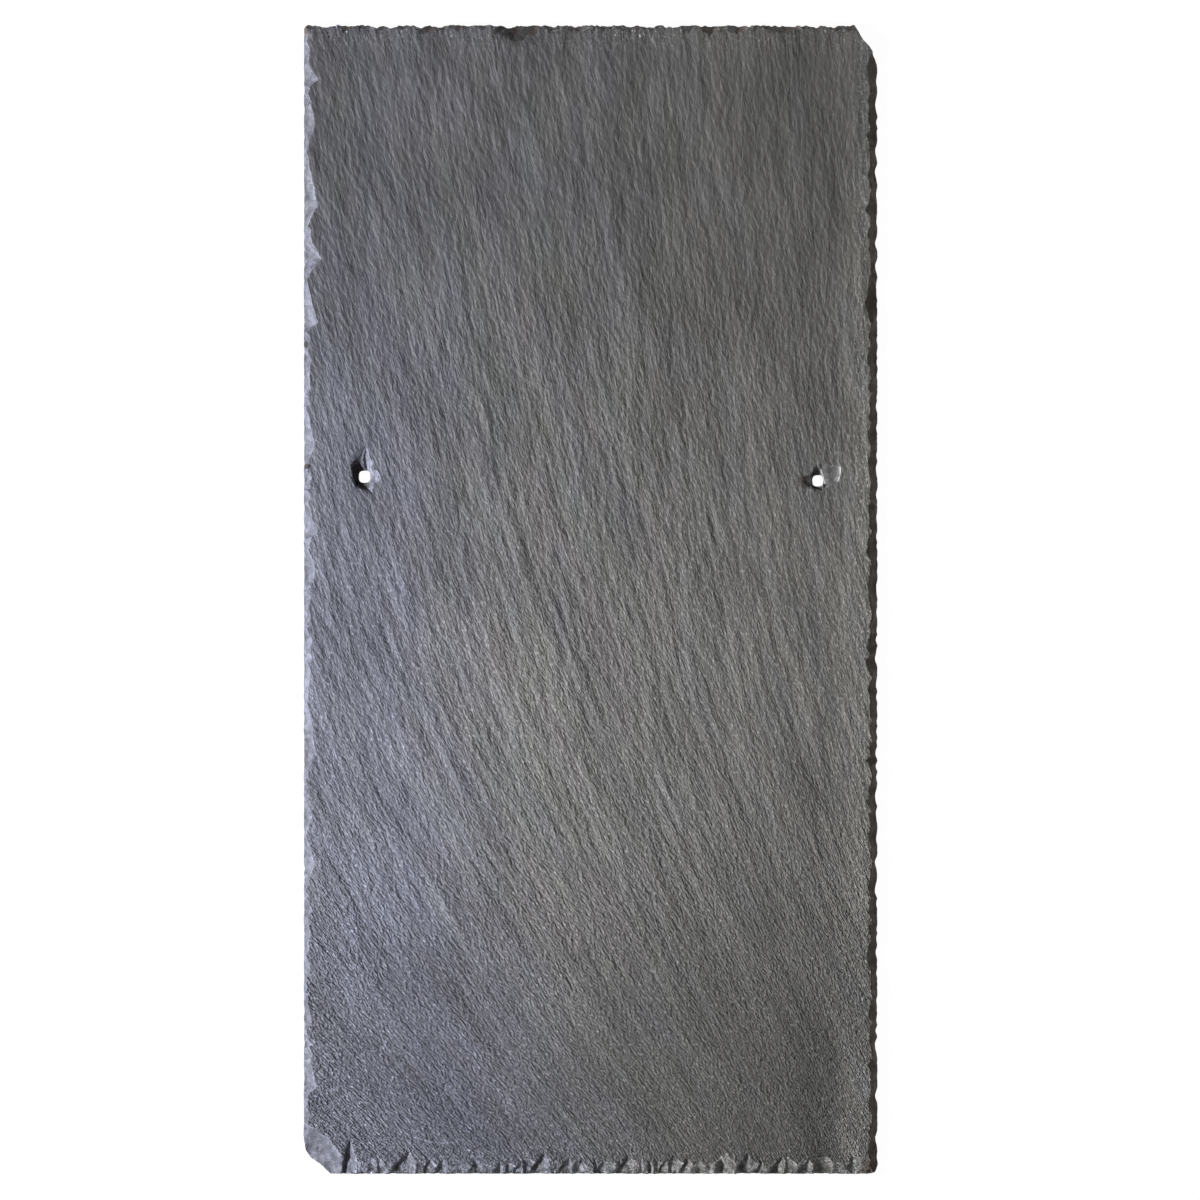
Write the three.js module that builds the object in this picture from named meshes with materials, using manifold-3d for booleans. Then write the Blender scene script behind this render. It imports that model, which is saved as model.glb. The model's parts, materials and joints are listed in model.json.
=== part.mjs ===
// Natural slate roof tile with two punched nail holes and hand-dressed edges.
// Millimetres, +Z up. The origin is the middle of the bed face, which lies on the roof; +Y points
// to the head of the slate, +X to its right side, and +Z out of the weather face.

import * as THREE from 'three';
import { mergeVertices } from 'three/addons/utils/BufferGeometryUtils.js';
import { ConvexGeometry } from 'three/addons/geometries/ConvexGeometry.js';
import { ImprovedNoise } from 'three/addons/math/ImprovedNoise.js';
import Module from 'manifold-3d';

const wasm = await Module();
wasm.setup();

// The slate
const WIDTH = 250;
const LENGTH = 500;
const THICKNESS = 6;
const HEAD_NARROWING = 0.7;

// The riven weather face rolls gently along the grain
const WAVE_DEPTH = 0.7;
const WAVE_ACROSS = 55;
const WAVE_ALONG = 140;
const WAVE_GRID = 16;

// The corners: how far each one is broken back across the width and along the length
const HEAD_LEFT_BREAK = 1.8;
const HEAD_RIGHT_BREAK_ACROSS = 10;
const HEAD_RIGHT_BREAK_ALONG = 12.4;
const TAIL_LEFT_BREAK_ACROSS = 12;
const TAIL_LEFT_BREAK_ALONG = 17;
const TAIL_RIGHT_ROUND = 4.5;

// The broken line of each edge in plan: how deeply it is nicked in from the true line, and where
// each side is drawn in by a long shallow hollow, measured from the head
const LEFT_NICKS = 0.6;
const RIGHT_NICKS = 1.1;
const HEAD_NICKS = 2.2;
const TAIL_NICKS = 0.5;
const LOBE_LENGTH = 23;
const TOOTH_LENGTH = 6;
const SIDE_STEP = 4;
const END_STEP = 2.5;
const LEFT_HOLLOW = { start: 14, end: 190, depth: 0.6 };
const RIGHT_HOLLOW = { start: 150, end: 375, depth: 0.8 };
const HOLLOW_RUNOUT = 25;

// The nail holes, punched from the bed face
const HOLE_FROM_TAIL = 302.5;
const HOLE_SPACING = 197;
const HOLE_SHIFT = 0.2;
const HOLE_SKEW = 1.8;
const LEFT_HOLE = { across: 5.2, along: 5.4, corner: 1.3 };
const RIGHT_HOLE = { across: 4.7, along: 5.2, corner: 1.2 };
const CRATER_FLOOR = 4.6;

const SLATE_COLOUR = 0x6b6b70;
const OVERCUT = 3;
const SHELL_FACETS = 4;

const HEAD_Y = LENGTH / 2;
const TAIL_Y = -LENGTH / 2;

const noise = new ImprovedNoise();

function between(low, high) {
  return low + (high - low) * THREE.MathUtils.seededRandom();
}

function sideX(y) {
  return WIDTH / 2 - (HEAD_NARROWING / 2) * ((y - TAIL_Y) / LENGTH);
}

// Solids and booleans

function solidFrom(geometry) {
  geometry.deleteAttribute('normal');
  geometry.deleteAttribute('uv');
  const merged = mergeVertices(geometry, 1e-4);
  return new wasm.Manifold(new wasm.Mesh({
    numProp: 3,
    vertProperties: new Float32Array(merged.attributes.position.array),
    triVerts: new Uint32Array(merged.index.array),
  }));
}

function geometryFrom(solid) {
  const mesh = solid.getMesh();
  const geometry = new THREE.BufferGeometry();
  geometry.setAttribute('position', new THREE.BufferAttribute(mesh.vertProperties, 3));
  geometry.setIndex(new THREE.BufferAttribute(mesh.triVerts, 1));
  geometry.computeVertexNormals();
  return geometry;
}

// The blank: a plate cut to the broken outline, with the rolling weather face on top

function waveAt(x, y) {
  const roll = noise.noise(x / WAVE_ACROSS + 3.1, y / WAVE_ALONG + 7.7, 0.5);
  const swell = noise.noise(x / (2 * WAVE_ACROSS), y / WAVE_ACROSS + 1.3, 9.2);
  return THICKNESS - WAVE_DEPTH * THREE.MathUtils.clamp(0.3 - 0.6 * roll - 0.4 * swell, 0, 1);
}

// What the cleaving takes away: everything above the rolling face
function aboveWeatherFace() {
  const across = WIDTH + 2 * OVERCUT;
  const along = LENGTH + 2 * OVERCUT;
  const block = new THREE.BoxGeometry(
    across, along, OVERCUT, Math.round(across / WAVE_GRID), Math.round(along / WAVE_GRID), 1);
  const position = block.attributes.position;
  for (let i = 0; i < position.count; i += 1) {
    const isTop = position.getZ(i) > 0;
    position.setZ(i, isTop ? THICKNESS + 2 * OVERCUT : waveAt(position.getX(i), position.getY(i)));
  }
  return solidFrom(block);
}

function hollowAt(fromHead, { start, end, depth }) {
  const opening = THREE.MathUtils.smoothstep(fromHead, start, start + HOLLOW_RUNOUT);
  const closing = THREE.MathUtils.smoothstep(fromHead, end - HOLLOW_RUNOUT, end);
  return depth * (opening - closing);
}

// Points from one corner break to the next, nicked in from the straight line. The nicks fade out
// at both ends so that the slate keeps its full width and length.
function brokenEdge(start, end, step, nicks, row, hollow) {
  const run = end.clone().sub(start);
  const inward = new THREE.Vector2(-run.y, run.x).normalize();
  const count = Math.round(run.length() / step);
  const points = [];
  for (let i = 0; i <= count; i += 1) {
    const along = (i / count) * run.length();
    const lobes = 1 - 3.6 * Math.abs(noise.noise(along / LOBE_LENGTH, row, 2.4));
    const teeth = Math.abs(noise.noise(along / TOOTH_LENGTH, row, 6.8));
    const fade = Math.min(1, 6 * Math.min(i, count - i) / count);
    const point = start.clone().addScaledVector(run, i / count);
    const depth = fade * nicks * (0.6 * Math.max(0, lobes) + 0.7 * teeth)
      + (hollow ? hollowAt(HEAD_Y - point.y, hollow) : 0);
    points.push(point.addScaledVector(inward, depth));
  }
  return points;
}

// Counter-clockwise from the tail, seen from above the weather face
function outlinePrism() {
  const tailLeft = new THREE.Vector2(-sideX(TAIL_Y), TAIL_Y);
  const tailRight = new THREE.Vector2(sideX(TAIL_Y), TAIL_Y);
  const headRight = new THREE.Vector2(sideX(HEAD_Y), HEAD_Y);
  const headLeft = new THREE.Vector2(-sideX(HEAD_Y), HEAD_Y);
  const from = (corner, x, y) => corner.clone().add(new THREE.Vector2(x, y));
  const rounding = TAIL_RIGHT_ROUND * (1 - Math.SQRT1_2);
  const tailLeftBreak = (across, along) => from(
    tailLeft, across * TAIL_LEFT_BREAK_ACROSS, along * TAIL_LEFT_BREAK_ALONG);
  const headRightBreak = (across, along) => from(
    headRight, -across * HEAD_RIGHT_BREAK_ACROSS, -along * HEAD_RIGHT_BREAK_ALONG);
  const points = [
    tailLeftBreak(0.26, 0.43),
    tailLeftBreak(0.47, 0.33),
    tailLeftBreak(0.68, 0.23),
    tailLeftBreak(0.81, 0.13),
    ...brokenEdge(
      tailLeftBreak(1, 0), from(tailRight, -TAIL_RIGHT_ROUND, 0), END_STEP, TAIL_NICKS, 11),
    from(tailRight, -rounding, rounding),
    ...brokenEdge(
      from(tailRight, 0, TAIL_RIGHT_ROUND), headRightBreak(0.04, 3), SIDE_STEP, RIGHT_NICKS, 22,
      RIGHT_HOLLOW),
    headRightBreak(0.16, 2.2),
    headRightBreak(0.18, 1.2),
    headRightBreak(0.22, 0.95),
    headRightBreak(0.36, 0.77),
    headRightBreak(0.6, 0.57),
    headRightBreak(0.76, 0.37),
    headRightBreak(0.86, 0.23),
    ...brokenEdge(
      headRightBreak(1, 0), from(headLeft, HEAD_LEFT_BREAK, 0), END_STEP, HEAD_NICKS, 33),
    ...brokenEdge(
      from(headLeft, 0, -HEAD_LEFT_BREAK), tailLeftBreak(0, 1), SIDE_STEP, LEFT_NICKS, 44,
      LEFT_HOLLOW),
    tailLeftBreak(0.08, 0.62),
  ];
  const prism = new THREE.ExtrudeGeometry(
    new THREE.Shape(points), { depth: THICKNESS + OVERCUT, bevelEnabled: false });
  return solidFrom(prism);
}

// Each edge gives the point [x, y] at a distance along it and a distance in from it. Distances
// along the sides run from the head, and along the ends from the middle towards the right.
const leftSide = (along, inward) => [-sideX(HEAD_Y - along) + inward, HEAD_Y - along];
const rightSide = (along, inward) => [sideX(HEAD_Y - along) - inward, HEAD_Y - along];
const headEnd = (along, inward) => [along, HEAD_Y - inward];
const tailEnd = (along, inward) => [along, TAIL_Y + inward];
const tailLeftCorner = (along, inward) => [
  -sideX(TAIL_Y) + TAIL_LEFT_BREAK_ACROSS / 2 + (inward + along) * Math.SQRT1_2,
  TAIL_Y + TAIL_LEFT_BREAK_ALONG / 2 + (inward - along) * Math.SQRT1_2,
];

function hullOf(points) {
  return solidFrom(new ConvexGeometry(points.map((point) => new THREE.Vector3(...point))));
}

// A chip with flat facets, broken off the weather face. Its rim runs from start to its tip,
// reach in from the edge, and on to end, and stands shoulder in from the edge at both. Below the
// tip the facets meet in a crease that leaves the edge at foot above the bed.
function chip(edge, { start, tip, end, reach, foot, shoulder = 0, crease = 0 }) {
  const fall = (THICKNESS - foot) * OVERCUT / reach;
  const points = [];
  for (const [along, inward] of [
    [start, shoulder], [tip, reach], [end, shoulder], [start, -OVERCUT], [end, -OVERCUT],
  ]) {
    points.push([...edge(along, inward), THICKNESS], [...edge(along, inward), THICKNESS + OVERCUT]);
  }
  points.push([...edge(tip - crease / 2, -OVERCUT), foot - fall]);
  if (crease > 0) {
    points.push([...edge(tip + crease / 2, -OVERCUT), foot - fall]);
  }
  return hullOf(points);
}

// A notch that the knife tore: a steep wall on the side of start, a low floor beside it, and an
// open facet that rises to end. The floor leaves the edge at foot above the bed, and lean is the
// share of the way from start to tip that it takes up there.
function notch(edge, { start, tip, end, reach, foot, lean }) {
  const wall = tip - start;
  const rise = THICKNESS - foot;
  const fall = rise * OVERCUT / reach;
  const points = [];
  for (const [along, inward] of [
    [start, 0.15 * reach], [tip, reach], [end, 0], [start, -OVERCUT], [end, -OVERCUT],
  ]) {
    points.push([...edge(along, inward), THICKNESS], [...edge(along, inward), THICKNESS + OVERCUT]);
  }
  points.push([...edge(start + 0.1 * wall, -OVERCUT), foot - fall]);
  points.push([...edge(start + lean * wall, -OVERCUT), foot - fall]);
  points.push([...edge(start + 0.52 * wall, 0.5 * reach), foot + 0.3 * rise]);
  points.push([...edge(start + 0.86 * wall, 0.82 * reach), foot + 0.65 * rise]);
  return hullOf(points);
}

// A shell-shaped chip: the hollow of a ball, which leaves the edge at foot, comes out on the
// weather face at reach in from the edge, and is hollow deep below the bevel between them.
function shell(edge, { along, length, reach, foot, hollow }) {
  const rise = THICKNESS - foot;
  const chord = Math.hypot(reach, rise);
  const radius = chord * chord / (8 * hollow) + hollow / 2;
  const lift = Math.sqrt(radius * radius - chord * chord / 4);
  const out = (rise / chord) * lift - reach / 2;
  const up = foot + rise / 2 + (reach / chord) * lift;
  const atArris = 1 - (out * out + (THICKNESS - up) ** 2) / (radius * radius);
  const [x, y] = edge(along, 0);
  const [outX, outY] = edge(along, -1);
  const ball = new THREE.IcosahedronGeometry(1, SHELL_FACETS);
  ball.scale(radius, length / 2 / Math.sqrt(atArris), radius);
  ball.translate(out, 0, up);
  ball.rotateZ(Math.atan2(outY - y, outX - x));
  ball.translate(x, y, 0);
  return solidFrom(ball);
}

// A row of ordinary chips along one edge. Each overlaps the last, its tip lies at random along
// the middle of it, and its shoulders and crease are shares of its reach and width.
function dressedRow(edge, { seed, start, end, width, reach, foot, shoulder, crease, overlap }) {
  THREE.MathUtils.seededRandom(seed);
  const chips = [];
  let along = start;
  while (along < end) {
    const step = between(...width);
    const half = overlap * step / 2;
    const middle = along + step / 2;
    const tip = middle + half * between(-0.7, 0.7);
    const deep = between(...reach);
    chips.push(chip(edge, {
      start: middle - half, tip, end: middle + half, reach: deep, foot: between(...foot),
      shoulder: shoulder * deep, crease: crease * step,
    }));
    along += step;
  }
  return chips;
}

// A spall breaks away along flat facets: the hull of its outline on the weather face, each point
// as [x, y], and of the points on its floor, each as [x, y, depth below the weather face].
function spall([x, y], rim, floor) {
  const points = floor.map(([dx, dy, depth]) => [x + dx, y + dy, THICKNESS - depth]);
  for (const [dx, dy] of rim) {
    points.push([x + dx, y + dy, THICKNESS], [x + dx, y + dy, THICKNESS + OVERCUT]);
  }
  return hullOf(points);
}

// A square punch driven through from the bed face
function punchedBore([x, y], { across, along, corner }) {
  const halfX = across / 2 - corner;
  const halfY = along / 2 - corner;
  const section = new THREE.Shape();
  section.absarc(halfX, halfY, corner, 0, Math.PI / 2);
  section.absarc(-halfX, halfY, corner, Math.PI / 2, Math.PI);
  section.absarc(-halfX, -halfY, corner, Math.PI, 1.5 * Math.PI);
  section.absarc(halfX, -halfY, corner, 1.5 * Math.PI, 2 * Math.PI);
  const bore = new THREE.ExtrudeGeometry(
    section, { depth: THICKNESS + 2 * OVERCUT, bevelEnabled: false, curveSegments: 3 });
  bore.translate(x, y, -OVERCUT);
  return solidFrom(bore);
}

// Everything that is broken off the blank

const ordinaryChips = [
  ...dressedRow(rightSide, {
    seed: 5, start: 15, end: LENGTH - 3, width: [7, 17], reach: [2.6, 4.6], foot: [0.3, 0.9],
    shoulder: 0.6, crease: 0.9, overlap: 1.3,
  }),
  ...dressedRow(leftSide, {
    seed: 17, start: 2, end: LENGTH - 18, width: [5, 13], reach: [1.2, 2.8], foot: [1.2, 3.4],
    shoulder: 0.4, crease: 0.8, overlap: 1.3,
  }),
  ...dressedRow(headEnd, {
    seed: 29, start: -WIDTH / 2 + 1, end: WIDTH / 2 - 6, width: [5, 12], reach: [0.6, 1.8],
    foot: [1.2, 3.2], shoulder: 0.3, crease: 0.7, overlap: 1.2,
  }),
  ...dressedRow(tailEnd, {
    seed: 41, start: -WIDTH / 2 + 12, end: WIDTH / 2 - 4, width: [3, 8], reach: [2.4, 5.6],
    foot: [0.4, 1.6], shoulder: 0.5, crease: 0.2, overlap: 1.3,
  }),
];

// Broad thin chips that ran in from the left side, as [start, tip, end, reach]
const broadChips = [
  [15.7, 24.0, 26.2, 7.9], [58.9, 78.1, 88.1, 7.9], [91.0, 101.7, 111.3, 9.8],
  [112.1, 129.6, 131.8, 7.9], [139.0, 146.6, 163.0, 3.6], [164.5, 182.8, 192.8, 5.4],
  [193.7, 197.0, 203.0, 3.8], [204.6, 220.8, 224.3, 6.2], [225.6, 238.2, 247.0, 5.9],
  [274.0, 281.0, 294.0, 3.4], [293.2, 316.8, 324.7, 5.9], [335.5, 344.2, 353.0, 4.4],
  [351.7, 364.8, 376.1, 5.7], [377.8, 385.3, 388.7, 5.2], [389.2, 394.4, 407.5, 3.8],
  [420.6, 433.7, 437.2, 4.2], [437.2, 443.3, 445.0, 3.9], [445.0, 461.6, 466.9, 6.3],
].map(([start, tip, end, reach]) => chip(leftSide, {
  start, tip, end, reach, foot: 1.6, shoulder: 1.2, crease: 0.45 * (end - start),
}));

// Shell-shaped ones among them, as [distance from the head, length, reach]
const leftShells = [
  [41.9, 23, 4.8], [257, 9, 3.2], [268, 8.7, 3.8], [306, 30, 4.4], [364, 20, 5.0],
].map(([along, length, reach]) => shell(leftSide, {
  along, length, reach, foot: 2.4, hollow: 0.5,
}));

// Deeper chips out of the right side, as [start, tip, end, reach]
const deepChips = [
  [26, 33, 42, 5.0], [84, 92, 97, 4.6], [110, 121, 136, 6.0], [172, 178, 190, 4.8],
  [214, 226, 232, 4.6], [235, 241, 250, 4.4], [316, 320, 324, 6.2], [345, 352, 366, 4.6],
  [398, 404, 418, 5.0], [448, 452, 462, 4.8],
].map(([start, tip, end, reach]) => chip(rightSide, {
  start, tip, end, reach, foot: 0.6, shoulder: 2, crease: 0.3 * (end - start),
}));

// Chips in the head, as [start, tip, end, reach]
const headChips = [
  [-98, -92, -86, 2.6], [-38, -31, -24, 6.2], [17, 22, 27, 2.4], [52, 62, 69, 3.0],
].map(([start, tip, end, reach]) => chip(headEnd, {
  start, tip, end, reach, foot: 2.2, shoulder: 0.6, crease: 4,
}));

// The notches of the tail, as [start, tip, end, reach, lean], and the two shell-shaped ones
const tailNotches = [
  [-109.0, -104.3, -98.6, 16.2, 0.3], [-101.4, -94.9, -92.7, 5.8, 0.6],
  [-89.4, -78.3, -70.9, 10.8, 0.9], [-74.4, -69.2, -65.7, 7.9, 0.5],
  [-69.2, -63.9, -57.8, 7.4, 0.9], [-54.8, -49.5, -43.4, 6.7, 1],
  [-43.7, -39.0, -33.8, 6.4, 1], [-35.4, -29.9, -24.7, 6.4, 0.6],
  [-28.0, -19.9, -14.2, 10.2, 0.8], [-16.9, -8.9, -6.3, 7.5, 1], [-7.2, -3.7, 1.5, 7.0, 0.4],
  [1.3, 5.9, 10.7, 7.0, 0.9], [8.8, 16.6, 29.5, 8.6, 0.7], [28.0, 32.2, 37.7, 6.2, 1],
  [37.2, 42.2, 48.2, 8.1, 0.5], [61.9, 69.0, 72.2, 10.3, 0.8], [70.5, 74.8, 77.9, 6.7, 0.5],
  [76.0, 83.5, 88.9, 8.6, 0.5], [87.6, 95.0, 98.6, 6.9, 0.8], [108.9, 114.1, 120.2, 3.0, 1],
].map(([start, tip, end, reach, lean]) => notch(tailEnd, {
  start, tip, end, reach, foot: 0.8, lean,
}));
const tailShells = [[57.4, 9, 8.1], [101, 12, 8.6]].map(([along, length, reach]) => shell(
  tailEnd, { along, length, reach, foot: 0.8, hollow: 0.7 }));

// One broad smooth shell took the whole tail-left corner
const cornerShell = shell(tailLeftCorner, {
  along: 0, length: 44, reach: 9.4, foot: 1.2, hollow: 0.7,
});

// The punch bursts spalls off the weather face round each nail hole
const leftHole = [
  -HOLE_SPACING / 2 + HOLE_SHIFT, TAIL_Y + HOLE_FROM_TAIL + HOLE_SKEW / 2,
];
const rightHole = [
  HOLE_SPACING / 2 + HOLE_SHIFT, TAIL_Y + HOLE_FROM_TAIL - HOLE_SKEW / 2,
];
const left = LEFT_HOLE.across / 2;
const right = RIGHT_HOLE.across / 2;

const craters = [
  spall(
    leftHole, [[0.5, 13.2], [-6.3, 5.8], [-5.2, -1.3], [-4.0, -5.0], [0.8, 3.0], [-0.6, 8.5]],
    [
      [-3.6, -3.4, CRATER_FLOOR], [-4.3, left, CRATER_FLOOR], [-0.4, left, CRATER_FLOOR],
      [-4.4, 5.2, 0.75 * CRATER_FLOOR], [-1.8, 6.8, 0.75 * CRATER_FLOOR],
      [-0.5, 9.6, 0.45 * CRATER_FLOOR],
    ]),
  spall(
    leftHole, [[-4.0, -5.0], [2.1, -7.3], [4.9, -7.6], [4.2, -1.0], [2.0, 1.0]],
    [
      [-left, -left, 0.8 * CRATER_FLOOR], [left, -left, 0.5 * CRATER_FLOOR],
      [-1.6, -3.9, 0.8 * CRATER_FLOOR], [2.0, -6.0, 0.3 * CRATER_FLOOR],
    ]),
  spall(
    leftHole, [[0.5, 13.2], [7.4, -1.8], [3.0, 1.0], [-1.2, 4.6]],
    [[left, -0.4, 0.5 * CRATER_FLOOR], [-0.4, left, 0.7 * CRATER_FLOOR]]),
  spall(
    rightHole, [[-3.4, 3.0], [-2.6, 5.6], [0.2, 6.4], [2.0, 2.5], [-2.4, -2.8]],
    [
      [-right, -right, CRATER_FLOOR], [-right, right, CRATER_FLOOR],
      [-1.2, 4.6, 0.6 * CRATER_FLOOR], [1.2, 3.4, 0.7 * CRATER_FLOOR],
    ]),
  spall(
    rightHole, [[-8.6, 1.4], [-3.0, 2.4], [-2.6, -2.8], [-7.2, -3.0]],
    [
      [-right, -right, 0.6 * CRATER_FLOOR], [-right, 0.5 * right, 0.6 * CRATER_FLOOR],
      [-7.0, 0.4, 0.4 * CRATER_FLOOR], [-6.4, -1.8, 0.4 * CRATER_FLOOR],
    ]),
  spall(
    rightHole, [[0.4, 7.6], [9.9, 6.4], [9.8, 2.6], [8.8, -0.8], [2.3, -4.5], [-2.8, -2.8]],
    [
      [right, -right, 0.5 * CRATER_FLOOR], [right, right, 0.35 * CRATER_FLOOR],
      [8.8, 5.2, 0.35 * CRATER_FLOOR], [8.4, 1.2, 0.3 * CRATER_FLOOR],
      [1.4, 5.2, 0.3 * CRATER_FLOOR],
    ]),
];
const bores = [punchedBore(leftHole, LEFT_HOLE), punchedBore(rightHole, RIGHT_HOLE)];

let solid = outlinePrism().subtract(aboveWeatherFace());
for (const cut of [
  ...ordinaryChips, ...broadChips, ...leftShells, ...deepChips, ...headChips, ...tailNotches,
  ...tailShells, cornerShell, ...craters, ...bores,
]) {
  solid = solid.subtract(cut);
}

const slate = new THREE.Mesh(
  geometryFrom(solid),
  new THREE.MeshStandardMaterial({ color: SLATE_COLOUR, roughness: 0.8, metalness: 0 }));
slate.name = 'slate';

const tile = new THREE.Group();
tile.add(slate);
export default tile;
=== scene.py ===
import json
import math

import bpy
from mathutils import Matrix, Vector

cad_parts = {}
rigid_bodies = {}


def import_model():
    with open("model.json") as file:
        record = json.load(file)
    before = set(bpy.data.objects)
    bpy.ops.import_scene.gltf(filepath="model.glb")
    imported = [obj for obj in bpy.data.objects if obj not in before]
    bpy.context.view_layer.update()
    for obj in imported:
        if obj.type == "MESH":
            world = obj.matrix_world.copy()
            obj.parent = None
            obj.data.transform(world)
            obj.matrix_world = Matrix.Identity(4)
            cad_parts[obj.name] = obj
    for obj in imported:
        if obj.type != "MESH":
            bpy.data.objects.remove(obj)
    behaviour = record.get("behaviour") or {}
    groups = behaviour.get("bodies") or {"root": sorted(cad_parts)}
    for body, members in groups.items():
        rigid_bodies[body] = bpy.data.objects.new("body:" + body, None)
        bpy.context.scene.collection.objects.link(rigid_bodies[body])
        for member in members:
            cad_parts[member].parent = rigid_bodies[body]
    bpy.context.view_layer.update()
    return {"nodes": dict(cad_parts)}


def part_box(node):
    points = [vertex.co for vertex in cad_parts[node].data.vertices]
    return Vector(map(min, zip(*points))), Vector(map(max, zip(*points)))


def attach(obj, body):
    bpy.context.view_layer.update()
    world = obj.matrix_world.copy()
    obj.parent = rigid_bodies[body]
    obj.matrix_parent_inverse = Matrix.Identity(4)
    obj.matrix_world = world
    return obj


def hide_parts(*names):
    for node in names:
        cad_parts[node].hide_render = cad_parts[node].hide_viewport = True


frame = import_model()


# The blank
# The slate is one piece of stone, split from the block by hand. Its blank is the broken outline
# of the bed face with both nail holes, raised to more than the slate's thickness and roughened.

MM = 0.001
low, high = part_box("slate")
THICKNESS = high.z - low.z
HEAD_Y = high.y / MM
TAIL_Y = low.y / MM
WIDTH = (high.x - low.x) / MM
LENGTH = (high.y - low.y) / MM
DEPTH = THICKNESS / MM
SPARE = 3 * MM
BED_BAND = 0.01 * MM
FACING_DOWN = -0.9
MERGE_DISTANCE = 0.001 * MM
OUTLINE_CUTS = 4
LUMP_SIZE = 4.0
GRIT_SIZE = 1.3


class Value:
    """A number on its way through a node tree: a sum written with it adds its Math nodes."""

    def __init__(self, tree, socket):
        self.tree = tree
        self.socket = socket

    def maths(self, operation, *terms):
        return node(self.tree, "ShaderNodeMath", {"operation": operation}, dict(enumerate(terms)))

    def __add__(self, other):
        return self.maths("ADD", self, other)

    def __radd__(self, other):
        return self.maths("ADD", other, self)

    def __sub__(self, other):
        return self.maths("SUBTRACT", self, other)

    def __rsub__(self, other):
        return self.maths("SUBTRACT", other, self)

    def __mul__(self, other):
        return self.maths("MULTIPLY", self, other)

    def __rmul__(self, other):
        return self.maths("MULTIPLY", other, self)

    def __truediv__(self, other):
        return self.maths("DIVIDE", self, other)

    def __rtruediv__(self, other):
        return self.maths("DIVIDE", other, self)

    def __pow__(self, other):
        return self.maths("POWER", self, other)

    def smaller(self, other):
        return self.maths("MINIMUM", self, other)

    def larger(self, other):
        return self.maths("MAXIMUM", self, other)

    def within(self, least, most):
        return self.larger(least).smaller(most)

    def size(self):
        return self.maths("ABSOLUTE", self)

    def ramp(self, start, end):
        """0 before start, 1 past end, and smooth between them."""
        return node(self.tree, "ShaderNodeMapRange", {"interpolation_type": "SMOOTHSTEP"},
                    {0: self, 1: start, 2: end})


def node(tree, kind, settings=None, inputs=None, output=0):
    """Adds one node to a tree: its settings first, then what its sockets take."""
    added = tree.nodes.new(kind)
    for name, value in (settings or {}).items():
        setattr(added, name, value)
    for name, value in (inputs or {}).items():
        if isinstance(value, Value):
            tree.links.new(value.socket, added.inputs[name])
        else:
            added.inputs[name].default_value = value
    return Value(tree, added.outputs[output])


def vector(x, y, z=0.0):
    tree = next(v.tree for v in (x, y, z) if isinstance(v, Value))
    return node(tree, "ShaderNodeCombineXYZ", inputs={0: x, 1: y, 2: z})


def split(value):
    """The three numbers of a vector."""
    return [node(value.tree, "ShaderNodeSeparateXYZ", inputs={0: value}, output=i)
            for i in range(3)]


def cloud(place, detail=0.0, roughness=0.5, dimensions="3D"):
    """Noise that swings both ways about nought."""
    return node(place.tree, "ShaderNodeTexNoise",
                {"noise_dimensions": dimensions, "normalize": False},
                {"Vector": place, "Scale": 1.0, "Detail": detail, "Roughness": roughness})


def shaping(name, shape):
    """A modifier's node tree that moves every point by what shape says of its place."""
    tree = bpy.data.node_groups.new(name, "GeometryNodeTree")
    for way in ("INPUT", "OUTPUT"):
        tree.interface.new_socket("Mesh", in_out=way, socket_type="NodeSocketGeometry")
    given = Value(tree, tree.nodes.new("NodeGroupInput").outputs[0])
    place = node(tree, "GeometryNodeInputPosition")
    outward = node(tree, "GeometryNodeInputNormal")
    moved = node(tree, "GeometryNodeSetPosition",
                 inputs={"Geometry": given, **shape(tree, place, outward)})
    tree.links.new(moved.socket, tree.nodes.new("NodeGroupOutput").inputs[0])
    return tree


def scaled(value, factor):
    return node(value.tree, "ShaderNodeVectorMath", {"operation": "SCALE"},
                {0: value, "Scale": factor})


def hackly(coarse, fine, inward=0.0):
    """Roughens a broken face with coarse lumps and fine grit, and may take it back inward."""
    def shape(tree, place, outward):
        lumps = coarse * cloud(scaled(place, 1 / (LUMP_SIZE * MM)))
        grit = fine * cloud(scaled(place, 1 / (GRIT_SIZE * MM)), detail=1.0)
        return {"Offset": scaled(outward, lumps + grit - inward)}
    return shaping("hackly break", shape)


def only(piece):
    """Deselects everything but this piece and makes it the active one."""
    if bpy.context.mode != "OBJECT":
        bpy.ops.object.mode_set(mode="OBJECT")
    bpy.ops.object.select_all(action="DESELECT")
    piece.select_set(True)
    bpy.context.view_layer.objects.active = piece


def select_faces(piece, wanted):
    """Leaves the piece in edit mode with the faces selected that the test wants."""
    only(piece)
    bpy.ops.object.mode_set(mode="EDIT")
    bpy.ops.mesh.select_mode(type="FACE")
    bpy.ops.mesh.select_all(action="DESELECT")
    bpy.ops.object.mode_set(mode="OBJECT")
    for face in piece.data.polygons:
        face.select = wanted(face)
    bpy.ops.object.mode_set(mode="EDIT")


def apply_modifier(piece, kind, **settings):
    only(piece)
    modifier = piece.modifiers.new(kind.lower(), kind)
    for name, value in settings.items():
        setattr(modifier, name, value)
    bpy.ops.object.modifier_apply(modifier=modifier.name)


def wear(piece, material):
    piece.data.materials.clear()
    piece.data.materials.append(material)


riven = bpy.data.materials.new("riven_slate")
broken = bpy.data.materials.new("broken_slate")

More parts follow.
